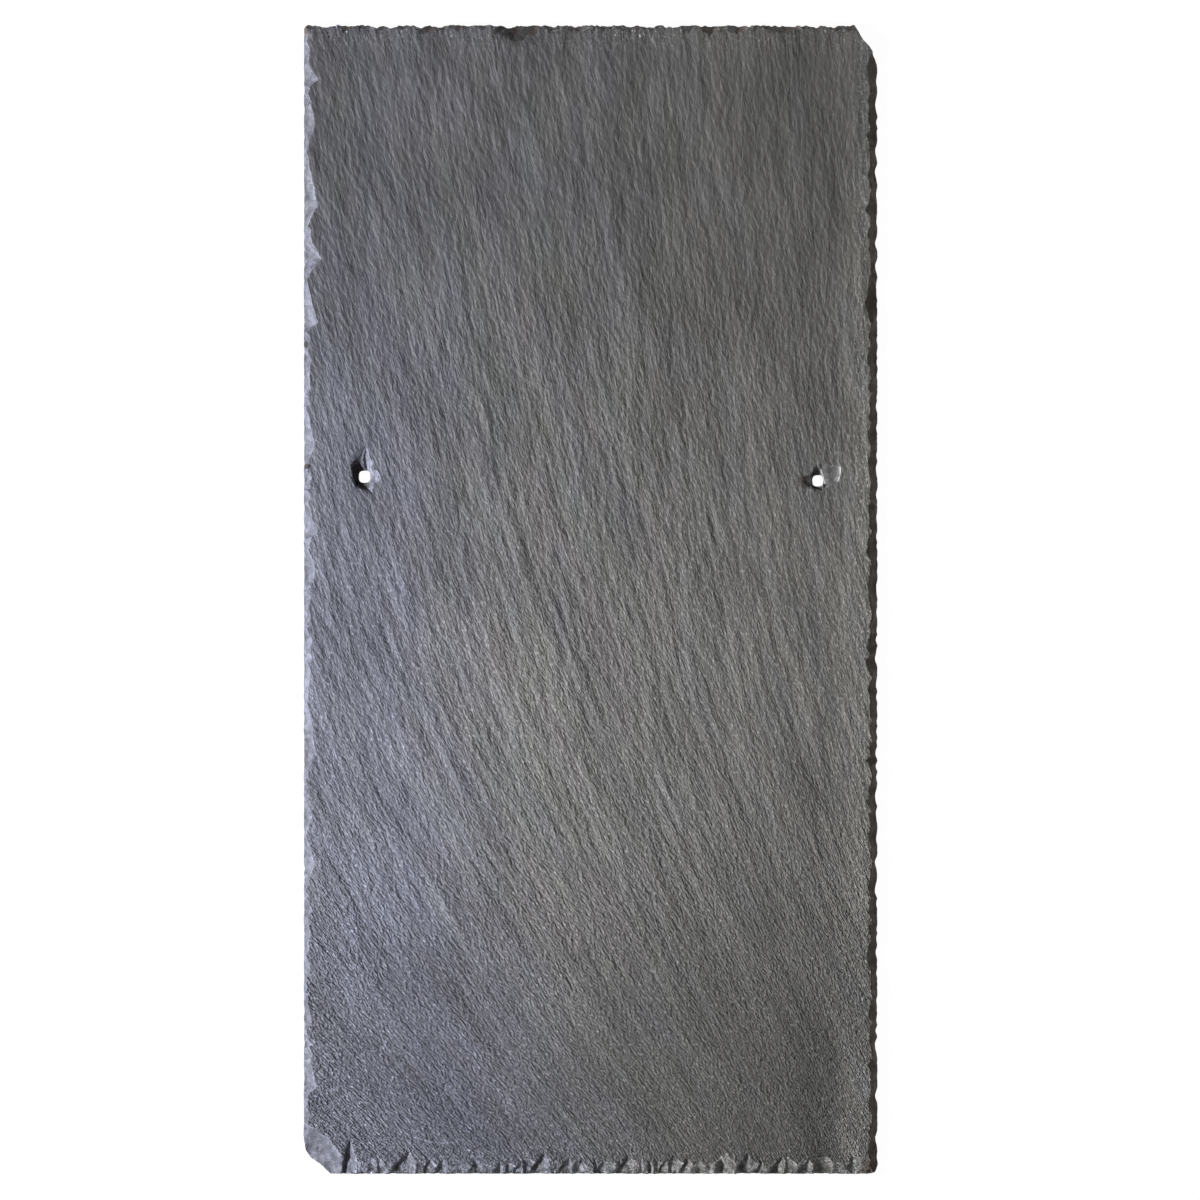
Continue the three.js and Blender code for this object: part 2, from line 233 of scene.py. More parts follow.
solid = frame["nodes"]["slate"]
slate = solid.copy()
slate.data = solid.data.copy()
slate.name = "riven_slate"
slate.parent = None
bpy.context.scene.collection.objects.link(slate)
wear(slate, broken)
select_faces(slate, lambda face: True)
bpy.ops.mesh.remove_doubles(threshold=MERGE_DISTANCE)
select_faces(slate, lambda face: face.center.z > BED_BAND or face.normal.z > FACING_DOWN)
bpy.ops.mesh.delete(type="FACE")
bpy.ops.mesh.select_mode(type="EDGE")
bpy.ops.mesh.select_all(action="DESELECT")
bpy.ops.mesh.select_non_manifold()
bpy.ops.mesh.subdivide(number_cuts=OUTLINE_CUTS)
bpy.ops.mesh.select_all(action="SELECT")
bpy.ops.transform.translate(value=(0, 0, -SPARE))
bpy.ops.mesh.extrude_region_move(
    TRANSFORM_OT_translate={"value": (0, 0, THICKNESS + 2 * SPARE)})
bpy.ops.mesh.select_all(action="SELECT")
bpy.ops.mesh.normals_make_consistent(inside=False)


# The strips along the head and the sides that the scallops take, and where these begin and are
# full beyond each corner, all in mm
HEAD_STRIP = 2.5
SIDE_STRIP = 3.5
FADE = 1.0
PAST_HEAD_LEFT = (2, 5)
PAST_CUT_ACROSS = (11, 14)
PAST_CUT_ALONG = (13, 18)
PAST_TAIL_RIGHT = (3, 7)
PAST_TAIL_LEFT = (18, 24)


def scallops(along, length, depth, seed, detail, roughness=0.5):
    """How far the scallops along one side cut in, in mm."""
    return depth * cloud(vector(along / length, seed), detail, roughness).size()


def ragged(tree, place, outward):
    """Brings the sides out to scalloped lines just inside the slate's overall size, between
    the corners. The corners stay as they are."""
    x, y, z = (part / MM for part in split(place))
    top = HEAD_Y - 0.2 - scallops(x, 10, 2.3, 4.0, 2, 0.6)
    top = top - scallops(x, 2.6, 0.7, 9.0, 1)
    right = WIDTH / 2 - 0.25 - scallops(y, 10, 2.0, 2.0, 1)
    left = 0.2 - WIDTH / 2 + scallops(y, 7, 0.5, 7.0, 1)
    tail = TAIL_Y + 0.25 + scallops(x, 4, 0.5, 3.0, 1)
    from_left = x + WIDTH / 2
    from_right = WIDTH / 2 - x
    from_tail = y - TAIL_Y
    from_head = HEAD_Y - y
    outer = WIDTH / 2 - SIDE_STRIP
    at_top = y.ramp(HEAD_Y - HEAD_STRIP - FADE, HEAD_Y - HEAD_STRIP)
    at_top = at_top * from_left.ramp(*PAST_HEAD_LEFT) * from_right.ramp(*PAST_CUT_ACROSS)
    at_right = x.ramp(outer - FADE, outer)
    at_right = at_right * from_head.ramp(*PAST_CUT_ALONG) * from_tail.ramp(*PAST_TAIL_RIGHT)
    at_left = (0 - x).ramp(outer - FADE, outer)
    at_left = at_left * from_tail.ramp(*PAST_TAIL_LEFT) * from_head.ramp(*PAST_HEAD_LEFT)
    across = x + at_right * (right - x) + at_left * (left - x)
    along = (y + at_top * (top - y)).larger(tail)
    return {"Position": vector(across * MM, along * MM, z * MM)}


apply_modifier(slate, "NODES", node_group=shaping("ragged outline", ragged))
side_break = hackly(coarse=0.3 * MM, fine=0.15 * MM, inward=0.1 * MM)
apply_modifier(slate, "NODES", node_group=side_break)


# The dressing
# The slater breaks the edges back with a knife, which strikes one chip after another off the
# weather face. Most leave flat facets and some a shell-shaped hollow, and the tail crumbles.

HEAD_NARROWING = 0.7
TAIL_LEFT_BREAK_ACROSS = 12
TAIL_LEFT_BREAK_ALONG = 17
OVERCUT = 3.0
FACET_SIZE = 1.5
LARGE_SHELL = 9
CUTS_STONE = -0.02
RANDOM_STEP = 0x6D2B79F5
RANDOM_RANGE = 2 ** 32

rough_break = hackly(coarse=0.5 * MM, fine=0.25 * MM)
smooth_break = hackly(coarse=0.55 * MM, fine=0.1 * MM)
scars = bpy.data.collections.new("scars")
bpy.context.scene.collection.children.link(scars)


def side_x(y):
    return WIDTH / 2 - (HEAD_NARROWING / 2) * ((y - TAIL_Y) / LENGTH)


def left_side(along, inward):
    return -side_x(HEAD_Y - along) + inward, HEAD_Y - along


def right_side(along, inward):
    return side_x(HEAD_Y - along) - inward, HEAD_Y - along


def head_end(along, inward):
    return along, HEAD_Y - inward


def tail_end(along, inward):
    return along, TAIL_Y + inward


def tail_left_corner(along, inward):
    return (-WIDTH / 2 + TAIL_LEFT_BREAK_ACROSS / 2 + (inward + along) * math.sqrt(0.5),
            TAIL_Y + TAIL_LEFT_BREAK_ALONG / 2 + (inward - along) * math.sqrt(0.5))


def chance(seed):
    """Numbers from 0 to 1 that fall the same way on every run."""
    while True:
        seed = (seed + RANDOM_STEP) % RANDOM_RANGE
        drawn = ((seed ^ (seed >> 15)) * (seed | 1)) % RANDOM_RANGE
        drawn ^= (drawn + (drawn ^ (drawn >> 7)) * (drawn | 61)) % RANDOM_RANGE
        yield (drawn ^ (drawn >> 14)) / RANDOM_RANGE


def keep_scar(cutter, roughness):
    wear(cutter, broken)
    cutter.modifiers.new("hackly", "NODES").node_group = roughness
    for home in list(cutter.users_collection):
        home.objects.unlink(cutter)
    scars.objects.link(cutter)


def shell(edge, along, length, reach, foot, hollow, roughness):
    """One shell-shaped scar, in mm: it leaves the edge at foot above the bed, comes out on the
    weather face at reach in from the edge, and is hollow deep below the bevel between them."""
    rise = DEPTH - foot
    chord = math.hypot(reach, rise)
    radius = chord * chord / (8 * hollow) + hollow / 2
    lift = math.sqrt(radius * radius - chord * chord / 4)
    out = (rise / chord) * lift - reach / 2
    up = foot + rise / 2 + (reach / chord) * lift
    at_arris = 1 - (out * out + (DEPTH - up) ** 2) / (radius * radius)
    half = length / 2 / math.sqrt(at_arris)
    x, y = edge(along, 0)
    out_x, out_y = edge(along, -1)
    way = math.atan2(out_y - y, out_x - x)
    bpy.ops.mesh.primitive_ico_sphere_add(
        subdivisions=5 if max(radius, half) > LARGE_SHELL else 4, radius=1,
        location=((x + out * math.cos(way)) * MM, (y + out * math.sin(way)) * MM, up * MM),
        rotation=(0, 0, way), scale=(radius * MM, half * MM, radius * MM))
    bpy.ops.object.transform_apply()
    keep_scar(bpy.context.object, roughness)


def hull(points, roughness):
    """A solid with flat facets round these points. Those that cut the stone are cut up finely
    enough to roughen."""
    mesh = bpy.data.meshes.new("facets")
    mesh.from_pydata([[c * MM for c in p] for p in points], [], [])
    cutter = bpy.data.objects.new("facets", mesh)
    bpy.context.scene.collection.objects.link(cutter)
    only(cutter)
    bpy.ops.object.mode_set(mode="EDIT")
    bpy.ops.mesh.select_all(action="SELECT")
    bpy.ops.mesh.convex_hull()
    bpy.ops.mesh.select_all(action="SELECT")
    bpy.ops.mesh.quads_convert_to_tris()
    bpy.ops.mesh.normals_make_consistent(inside=False)
    select_faces(cutter, lambda face: face.normal.z < CUTS_STONE)
    span = math.sqrt(cutter.dimensions.x * cutter.dimensions.y) / MM
    bpy.ops.mesh.subdivide(number_cuts=max(2, round(span / FACET_SIZE)))
    bpy.ops.object.mode_set(mode="OBJECT")
    keep_scar(cutter, roughness)


def chip(edge, start, tip, end, reach, foot, roughness, shoulder=0.0, crease=0.0):
    """A chip with flat facets. Its rim runs from start to its tip, reach in from the edge, and on
    to end, and stands shoulder in from the edge at both. Below the tip the facets meet in a
    crease that leaves the edge at foot above the bed."""
    fall = (DEPTH - foot) * OVERCUT / reach
    rim = [(start, shoulder), (tip, reach), (end, shoulder), (start, -OVERCUT), (end, -OVERCUT)]
    points = [(*edge(*place), z) for place in rim for z in (DEPTH, DEPTH + OVERCUT)]
    points += [(*edge(tip + half, -OVERCUT), foot - fall) for half in {-crease / 2, crease / 2}]
    hull(points, roughness)


# A notch's points: its shoulder as a share of the reach, where its wall starts as a share of the
# wall's length, and two points up the wall as shares of its length, the reach and the rise
NOTCH_SHOULDER = 0.15
NOTCH_WALL_START = 0.1
NOTCH_WALL = ((0.52, 0.5, 0.3), (0.86, 0.82, 0.65))


def notch(edge, start, tip, end, reach, foot, lean, roughness):
    """A torn notch: a steep wall on the side of start, a low floor beside it, and an open facet
    that rises to end. The floor takes up the share lean of the way from start to tip."""
    wall = tip - start
    rise = DEPTH - foot
    fall = rise * OVERCUT / reach
    rim = [(start, NOTCH_SHOULDER * reach), (tip, reach), (end, 0),
           (start, -OVERCUT), (end, -OVERCUT)]
    points = [(*edge(*place), z) for place in rim for z in (DEPTH, DEPTH + OVERCUT)]
    points += [(*edge(start + share * wall, -OVERCUT), foot - fall)
               for share in (NOTCH_WALL_START, lean)]
    points += [(*edge(start + share * wall, inward * reach), foot + up * rise)
               for share, inward, up in NOTCH_WALL]
    hull(points, roughness)


def row(edge, seed, start, end, width, reach, foot, roughness, shoulder, crease, overlap,
        tips=(-0.7, 0.7)):
    """A row of ordinary chips along one edge, each overlapping the last. Their shoulders and
    creases are shares of their reach and width."""
    draw = chance(seed)
    next(draw)

    def between(pair):
        return pair[0] + (pair[1] - pair[0]) * next(draw)

    along = start
    while along < end:
        step = between(width)
        half = overlap * step / 2
        middle = along + step / 2
        tip = middle + half * between(tips)
        deep = between(reach)
        chip(edge, middle - half, tip, middle + half, deep, between(foot), roughness,
             shoulder=shoulder * deep, crease=crease * step)
        along += step


RIGHT_ROW = {"edge": right_side, "roughness": rough_break}
LEFT_ROW = {"edge": left_side, "roughness": rough_break, "start": 2, "end": LENGTH - 18}
HEAD_ROW = {"edge": head_end, "roughness": rough_break, "start": 1 - WIDTH / 2, "shoulder": 0.3}
TAIL_ROW = {"edge": tail_end, "roughness": rough_break, "start": 12 - WIDTH / 2,
            "end": WIDTH / 2 - 4, "shoulder": 0.5, "crease": 0.1}

row(**RIGHT_ROW, seed=5, start=15, end=LENGTH - 3, width=(7, 17), reach=(3.6, 5.6),
    foot=(0.3, 0.9), shoulder=0.6, crease=0.9, overlap=1.3)
row(**RIGHT_ROW, seed=6, start=13, end=LENGTH - 6, width=(4, 10), reach=(2.6, 4.8),
    foot=(0.3, 1.2), shoulder=0.7, crease=0.6, overlap=1.2)
row(**LEFT_ROW, seed=17, width=(5, 13), reach=(1.8, 4.0), foot=(1.2, 3.2),
    shoulder=0.5, crease=0.8, overlap=1.3)
row(**LEFT_ROW, seed=18, width=(2, 7), reach=(1.4, 3.4), foot=(1.5, 4.6),
    shoulder=0.3, crease=0.4, overlap=1.0)
row(**HEAD_ROW, seed=29, end=WIDTH / 2 - 6, width=(5, 12), reach=(1.6, 4.2), foot=(0.6, 2.4),
    crease=0.5, overlap=1.2)
row(**HEAD_ROW, seed=30, end=WIDTH / 2 - 12, width=(1.5, 5), reach=(0.8, 3.6), foot=(0.8, 4.0),
    crease=0.3, overlap=0.9)
row(**TAIL_ROW, seed=41, width=(7, 15), reach=(6.0, 11.0), foot=(0.8, 3.0),
    overlap=1.2, tips=(-0.9, 0.3))
row(**TAIL_ROW, seed=43, width=(3, 8), reach=(4.4, 8.4), foot=(0.8, 3.4),
    overlap=1.0, tips=(-0.9, 0.3))
row(**TAIL_ROW, seed=44, width=(1.5, 4.0), reach=(1.6, 4.4), foot=(0.4, 2.2),
    overlap=0.9, tips=(-0.9, -0.2))

# Broad thin chips that ran in from the left side: start, tip, end and reach
for start, tip, end, reach in (
    (15.7, 24.0, 28.0, 6.6), (58.9, 78.1, 88.1, 6.8), (91.0, 101.7, 111.3, 8.2),
    (112.1, 129.6, 133.8, 6.8), (139.0, 146.6, 163.0, 3.6), (164.5, 182.8, 192.8, 5.4),
    (193.7, 197.0, 203.0, 3.8), (204.6, 220.8, 224.3, 6.2), (225.6, 238.2, 247.0, 5.9),
    (274.0, 281.0, 294.0, 3.4), (293.2, 316.8, 324.7, 5.9), (335.5, 344.2, 353.0, 4.4),
    (351.7, 364.8, 376.1, 5.7), (377.8, 385.3, 388.7, 5.2), (389.2, 394.4, 407.5, 3.8),
    (420.6, 433.7, 437.2, 4.2), (437.2, 443.3, 445.0, 3.9), (445.0, 461.6, 466.9, 6.3),
):
    chip(left_side, start, tip, end, reach, foot=1.0, roughness=smooth_break,
         shoulder=0.3 * reach, crease=0.45 * (end - start))

# Shell-shaped scars between them: along, length and reach
for along, length, reach in (
    (41.9, 23, 4.8), (257, 9, 3.2), (268, 8.7, 3.8), (306, 30, 4.4), (364, 20, 5.0),
):
    shell(left_side, along, length, reach, foot=2.4, hollow=0.5, roughness=smooth_break)

# Deeper chips out of the right side: start, tip, end and reach
for start, tip, end, reach in (
    (26, 33, 42, 5.2), (84, 92, 97, 5.4), (110, 121, 136, 6.4), (172, 178, 190, 5.2),
    (214, 226, 232, 5.0), (235, 241, 250, 4.8), (316, 320, 324, 6.2), (345, 352, 366, 5.0),
    (398, 404, 418, 5.2), (448, 452, 462, 5.0),
):
    chip(right_side, start, tip, end, reach, foot=0.6, roughness=rough_break,
         shoulder=2, crease=0.3 * (end - start))

# Chips in the head: start, tip, end, reach and crease
for start, tip, end, reach, crease in (
    (-110, -106.5, -103, 3.4, 3), (-92, -90, -88, 3.2, 2), (-76, -71, -64.5, 4.2, 6),
    (-42, -31, -23, 9.0, 12), (-12, -8, -4, 3.2, 3), (11, 17, 23, 3.2, 4), (39, 43, 47, 3.8, 4),
    (48, 52, 56, 5.6, 3), (59, 63.5, 68, 5.0, 3), (75, 84, 91, 4.2, 6), (105, 112, 118, 3.8, 5),
):
    chip(head_end, start, tip, end, reach, foot=0.8, roughness=rough_break,
         shoulder=0.6 * reach, crease=crease)

# The notches of the tail: start, tip, end, reach and lean
for start, tip, end, reach, lean in (
    (-109.0, -104.3, -98.6, 16.2, 0.3), (-101.4, -94.9, -92.7, 5.8, 0.6),
    (-89.4, -78.3, -70.9, 10.8, 0.9), (-74.4, -69.2, -65.7, 7.9, 0.5),
    (-69.2, -63.9, -57.8, 7.4, 0.9), (-54.8, -49.5, -43.4, 6.7, 1),
    (-43.7, -39.0, -33.8, 6.4, 1), (-35.4, -29.9, -24.7, 6.4, 0.6),
    (-28.0, -19.9, -14.2, 10.2, 0.8), (-16.9, -8.9, -6.3, 7.5, 1), (-7.2, -3.7, 1.5, 7.0, 0.4),
    (1.3, 5.9, 10.7, 7.0, 0.9), (8.8, 16.6, 29.5, 8.6, 0.7), (28.0, 32.2, 37.7, 6.2, 1),
    (37.2, 42.2, 48.2, 8.1, 0.5), (61.9, 69.0, 72.2, 10.3, 0.8), (70.5, 74.8, 77.9, 6.7, 0.5),
    (76.0, 83.5, 88.9, 8.6, 0.5), (87.6, 95.0, 98.6, 6.9, 0.8), (108.9, 114.1, 120.2, 3.0, 1),
):
    deeper_is_lower = max(0.8, 3.4 - 0.22 * reach)
    notch(tail_end, start, tip, end, reach, deeper_is_lower, lean, rough_break)
for along, length, reach in ((57.4, 9, 8.1), (101, 12, 8.6)):
    shell(tail_end, along, length, reach, foot=0.8, hollow=0.7, roughness=rough_break)

# One broad smooth shell took the whole tail-left corner
shell(tail_left_corner, along=0, length=44, reach=9.4, foot=1.2, hollow=0.7,
      roughness=smooth_break)


# The nail holes
# Each is punched from the bed face with a square point, which bursts a spall off the weather
# face round it. The bores themselves are already in the blank.

HOLE_FROM_TAIL = 302.5
HOLE_SPACING = 197
HOLE_SHIFT = 0.2
HOLE_SKEW = 1.8
CRATER_FLOOR = 4.6
LEFT_REACH = 2.6
RIGHT_REACH = 2.35
LEFT_RADIUS = 2.5
RIGHT_RADIUS = 2.25
ROUNDING = 0.5
ROUNDED_OUT_TO = (5, 6)
left_hole = (-HOLE_SPACING / 2 + HOLE_SHIFT, TAIL_Y + HOLE_FROM_TAIL + HOLE_SKEW / 2)
right_hole = (HOLE_SPACING / 2 + HOLE_SHIFT, TAIL_Y + HOLE_FROM_TAIL - HOLE_SKEW / 2)


def spall(hole, rim, floor, roughness):
    """A break along flat facets: the hull of its outline on the weather face, each point as
    (x, y), and of the points on its floor, each as (x, y, depth)."""
    x, y = hole
    points = [(x + dx, y + dy, z) for dx, dy in rim for z in (DEPTH, DEPTH + OVERCUT)]
    points += [(x + dx, y + dy, DEPTH - depth) for dx, dy, depth in floor]
    hull(points, roughness)


spall(left_hole,
      [(-6.3, 5.7), (-5.4, -1.2), (-4.0, -5.0), (-2.2, -4.8), (-0.2, 3.1), (-1.6, 6.4)],
      [(-3.8, -3.6, CRATER_FLOOR), (-4.6, LEFT_REACH, CRATER_FLOOR),
       (-0.2, 2.9, CRATER_FLOOR), (-1.7, 5.8, 0.8 * CRATER_FLOOR)], rough_break)
spall(left_hole,
      [(0.6, 13.0), (-6.3, 5.7), (-1.8, 4.6), (-0.8, 6.4)],
      [(-3.6, 6.2, 0.5 * CRATER_FLOOR), (-1.4, 6.0, 0.55 * CRATER_FLOOR),
       (-0.5, 9.6, 0.35 * CRATER_FLOOR)], rough_break)
spall(left_hole,
      [(-4.0, -5.0), (1.4, -6.6), (4.6, -8.0), (4.4, -3.0), (2.0, 1.0)],
      [(-LEFT_REACH, -LEFT_REACH, 0.8 * CRATER_FLOOR),
       (LEFT_REACH, -LEFT_REACH, 0.4 * CRATER_FLOOR),
       (-1.6, -3.9, 0.8 * CRATER_FLOOR), (1.2, -5.6, 0.5 * CRATER_FLOOR)], rough_break)
spall(left_hole,
      [(0.6, 13.0), (4.0, 8.0), (7.6, -1.6), (4.4, -3.4)],
      [(-1.0, 6.4, 0.34 * CRATER_FLOOR), (-0.3, 3.1, 0.36 * CRATER_FLOOR),
       (0.3, 11.5, 0.2 * CRATER_FLOOR), (LEFT_REACH, -2.2, 0.3 * CRATER_FLOOR),
       (7.2, -1.4, 0.12 * CRATER_FLOOR)], smooth_break)
spall(right_hole,
      [(-3.2, 2.6), (-2.6, 5.0), (-0.2, 6.6), (1.6, 3.8), (2.4, 0.0), (-2.4, -2.8)],
      [(-RIGHT_REACH, -RIGHT_REACH, CRATER_FLOOR), (-RIGHT_REACH, RIGHT_REACH, CRATER_FLOOR),
       (-1.4, 5.0, 0.7 * CRATER_FLOOR), (1.5, 3.4, 0.8 * CRATER_FLOOR)], rough_break)
spall(right_hole,
      [(-8.8, 1.6), (-3.0, 2.6), (-2.4, -2.8), (-7.4, -3.2)],
      [(-RIGHT_REACH, -RIGHT_REACH, 0.5 * CRATER_FLOOR),
       (-RIGHT_REACH, 0.5 * RIGHT_REACH, 0.5 * CRATER_FLOOR),
       (-6.0, 0.2, 0.22 * CRATER_FLOOR), (-5.6, -1.6, 0.22 * CRATER_FLOOR)], smooth_break)
spall(right_hole,
      [(-3.4, -2.4), (-3.0, -3.6), (2.4, -5.2), (2.6, -3.4)],
      [(-RIGHT_REACH, -RIGHT_REACH, 0.7 * CRATER_FLOOR), (1.6, -3.4, 0.5 * CRATER_FLOOR)],
      rough_break)
spall(right_hole,
      [(0.4, 7.6), (9.9, 6.4), (9.9, 2.6), (8.8, -0.8), (2.3, -4.5), (2.0, -1.0)],
      [(RIGHT_REACH, -RIGHT_REACH, 0.34 * CRATER_FLOOR), (1.2, 3.4, 0.3 * CRATER_FLOOR),
       (0.6, 6.8, 0.24 * CRATER_FLOOR), (9.2, 5.8, 0.24 * CRATER_FLOOR),
       (9.1, 2.6, 0.26 * CRATER_FLOOR), (8.0, -0.4, 0.24 * CRATER_FLOOR)], smooth_break)


def worn_bore(hole, radius):
    """Rounds a punched bore off towards this radius, in mm."""
    def shape(tree, place, outward):
        x, y = split(place)[:2]
        dx = x / MM - hole[0]
        dy = y / MM - hole[1]
        reach = (dx * dx + dy * dy) ** 0.5
        share = ROUNDING * (1 - reach.ramp(*ROUNDED_OUT_TO)) * (radius / reach - 1)
        return {"Offset": vector(share * dx * MM, share * dy * MM)}
    return shaping("worn bore", shape)


apply_modifier(slate, "NODES", node_group=worn_bore(left_hole, LEFT_RADIUS))
apply_modifier(slate, "NODES", node_group=worn_bore(right_hole, RIGHT_RADIUS))
apply_modifier(slate, "BOOLEAN", operation="DIFFERENCE", solver="MANIFOLD",
               material_mode="TRANSFER", operand_type="COLLECTION", collection=scars)
for cutter in list(scars.objects):
    bpy.data.objects.remove(cutter)
bpy.data.collections.remove(scars)


# The riven faces
# Slate splits along its bed, and the split runs in long ripples that fan out from the head.
# Each face is taken off with a sheet whose mesh follows the ripples.

METRE = 1000
LEAN_AT_HEAD = 0.13
SPREAD = 0.84
SWING = 1.23
SWING_TO_RIGHT = 1.6
SWING_LOST_OUTWARDS = 17
DEEPEST_RIPPLE = 1.3
DEEPEST_BED_HOLLOW = 0.6


def along_grain(x, y):
    """A point's place across and along the grain, in mm. The grain runs nearly straight down
    from the head and swings further and further to the right, most of all left of the middle."""
    from_head = HEAD_Y - y
    a = x / METRE
    b = from_head / METRE
    swing = SWING + SWING_TO_RIGHT * a - SWING_LOST_OUTWARDS * a * a
    run = b * (LEAN_AT_HEAD - SPREAD * a + b * b * swing)
    meander = 0.8 * cloud(vector(x / 40, y / 60), dimensions="2D")
    return x - METRE * run + meander, from_head


def drawn_out(across, along, width, length, shift=(0, 0), detail=0.0):
    """Noise drawn out along the grain, in cells of this width and length in mm. The shift
    moves it to other cells."""
    return cloud(vector(across / width + shift[0], along / length + shift[1]), detail,
                 dimensions="2D")


def weather_relief(x, y):
    """How far the weather face lies below its highest points, in mm."""
    across, along = along_grain(x, y)
    waves = drawn_out(across, along, 34, 110, (2.2, 0), detail=1)
    ripples = drawn_out(across, along, 5.6, 16, (0, 7.7))
    ridges = drawn_out(across, along, 2.9, 7, (0, 3.3))
    middle = (along / LENGTH).ramp(0.2, 0.45) - (along / LENGTH).ramp(0.75, 0.95)
    lively = (0.85 + 0.45 * middle) * (1 - 0.3 * (x / WIDTH).ramp(0.0, 0.4))
    depth = 0.5 - 0.35 * waves - lively * (0.36 * ripples + 0.36 * ridges)
    return depth.within(0, DEEPEST_RIPPLE)


def bed_relief(x, y):
    """How far the bed face lies above its lowest points, in mm."""
    across, along = along_grain(x, y)
    waves = drawn_out(across, along, 40, 90, (22, 3), detail=2)
    return (0.14 - 0.3 * waves).within(0, DEEPEST_BED_HOLLOW)


# The sheet that takes off a face covers this in mm: across the grain from and to, and along it.
# Its lines follow a simpler fan, which the middle of the slate keeps to.
SHEET = (-370.0, 130.0, -3.0, LENGTH + 3.0)
SHEET_SWING = 1.12
SHEET_SPREAD = 0.83
SHEET_SPREAD_LOST = 1.44


def splitting_tool(name, across_step, along_step, z, relief, lift):
    """A sheet that covers one face, its mesh lines laid along the ripples, made a solid."""
    first_across, last_across, first_along, last_along = SHEET
    columns = round((last_across - first_across) / across_step)
    rows = round((last_along - first_along) / along_step)
    bpy.ops.mesh.primitive_grid_add(x_subdivisions=columns, y_subdivisions=rows, size=1)
    tool = bpy.context.object
    tool.name = name
    wear(tool, riven)

    def shape(tree, place, outward):
        px, py = split(place)[:2]
        across = (px + 0.5) * (last_across - first_across) + first_across
        along = (0.5 - py) * (last_along - first_along) + first_along
        b = along / METRE
        run = METRE * b * (LEAN_AT_HEAD + SHEET_SWING * b * b)
        x = (across + run) / (1 + b * (SHEET_SPREAD - SHEET_SPREAD_LOST * b * b))
        y = HEAD_Y - along
        return {"Position": vector(x * MM, y * MM, (z + relief(x, y)) * MM)}

    apply_modifier(tool, "NODES", node_group=shaping(name, shape))
    select_faces(tool, lambda face: True)
    bpy.ops.mesh.extrude_region_move(TRANSFORM_OT_translate={"value": (0, 0, lift * MM)})
    bpy.ops.mesh.select_all(action="SELECT")
    bpy.ops.mesh.normals_make_consistent(inside=False)
    bpy.ops.object.mode_set(mode="OBJECT")
    return tool


top_tool = splitting_tool("weather_split", across_step=1.1, along_step=2.6, z=DEPTH,
                          relief=lambda x, y: 0 - weather_relief(x, y), lift=8)
bed_tool = splitting_tool("bed_split", across_step=3.0, along_step=8.0, z=0.0,
                          relief=bed_relief, lift=-8)
for tool in (top_tool, bed_tool):
    apply_modifier(slate, "BOOLEAN", operation="DIFFERENCE", solver="MANIFOLD",
                   material_mode="TRANSFER", operand_type="OBJECT", object=tool)
    bpy.data.objects.remove(tool)

SHARP_PAST = 32
only(slate)
bpy.ops.object.shade_smooth_by_angle(angle=math.radians(SHARP_PAST))
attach(slate, "root")
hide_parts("slate")


# The stone
# Blue-grey slate, dull and close-grained, bluer towards the tail's left, partly as a painted cool
# reflection, and greyer to the right. The riven faces carry a short silky grain along the ripples
# with painted highlights; the breaks carry painted shade in their hollows, and the right side is
# stained brown and darkened further as painted shade.

GREY = (0.158, 0.160, 0.155, 1)
REDDISH_GREY = (0.166, 0.158, 0.160, 1)
BLUE_GREY = (0.153, 0.160, 0.207, 1)
RIVEN_RIGHT_GREY = (0.164, 0.161, 0.151, 1)
BROKEN_RIGHT_GREY = (0.164, 0.161, 0.159, 1)
# Painted shade among these: the olive in the tail's deep hollows and the dark of the wide chip at
# the head and of the left crater's pocket, each with some dirt, and the black of two pits. The side
# stain is brown stain darkened further as painted shade; the rust is the stone's own.
OLIVE_DIRT_AND_SHADE = (0.062, 0.060, 0.042, 1)
SIDE_STAIN_AND_SHADE = (0.085, 0.062, 0.052, 1)
RUST = (0.07, 0.055, 0.045, 1)
HEAD_CHIP_DIRT_AND_SHADE = (0.03, 0.026, 0.022, 1)
CRATER_DIRT_AND_SHADE = (0.03, 0.022, 0.017, 1)
PIT_BLACK = (0.02, 0.02, 0.02, 1)
BREAK_PALENESS = 1.45
DULLNESS = 0.62
CRACK_WIDTH = 0.09
GRIT_CELL = 0.9
SCRATCH_CENTRE = (-63.1, -198)
SCRATCH_RADIUS = 38
# The angular facets of a break: their size in mm, how much of them shows away from the tail,
# and their tilt. The last ones give each facet its own shade.
FACETS = ((5.0, 0.35, 0.5), (0.9, 0.0, 0.4), (2.1, 0.35, 0.5))
# Two small pits in the left side, painted black as their shade: the centre and the radii of each
PITS = (((-123.7, HEAD_Y - 139.2), (1.3, 1.6)), ((-123.3, HEAD_Y - 192.2), (1.8, 1.2)))


class Place:
    """Where on the slate a point lies: in mm on its axes, across and along its grain, and as
    shares of the way down and to the right. Its zones run from 0 to 1."""

    def __init__(self, tree):
        self.tree = tree
        on_slate = node(tree, "ShaderNodeTexCoord", output="Object")
        self.x, self.y, self.z = (part / MM for part in split(on_slate))
        self.across, self.along = along_grain(self.x, self.y)
        self.down = self.along / LENGTH
        self.right = self.x / WIDTH
        self.closer_along = self.along * (1 + 0.35 * self.down)
        self.lower_part = self.down.ramp(0.1, 0.6)
        self.middle = self.down.ramp(0.25, 0.45) - self.down.ramp(0.6, 0.8)
        self.near_tail = self.down.ramp(0.65, 0.95)
        self.at_right = self.right.ramp(0.0, 0.35)
        self.specks = (cloud(self.cells(0.8, 1.1, 0.8), detail=1) - 0.15).larger(0)

    def cells(self, wide, long, deep):
        """This place in cells of these sizes, in mm."""
        return vector(self.x / wide, self.y / long, self.z / deep)


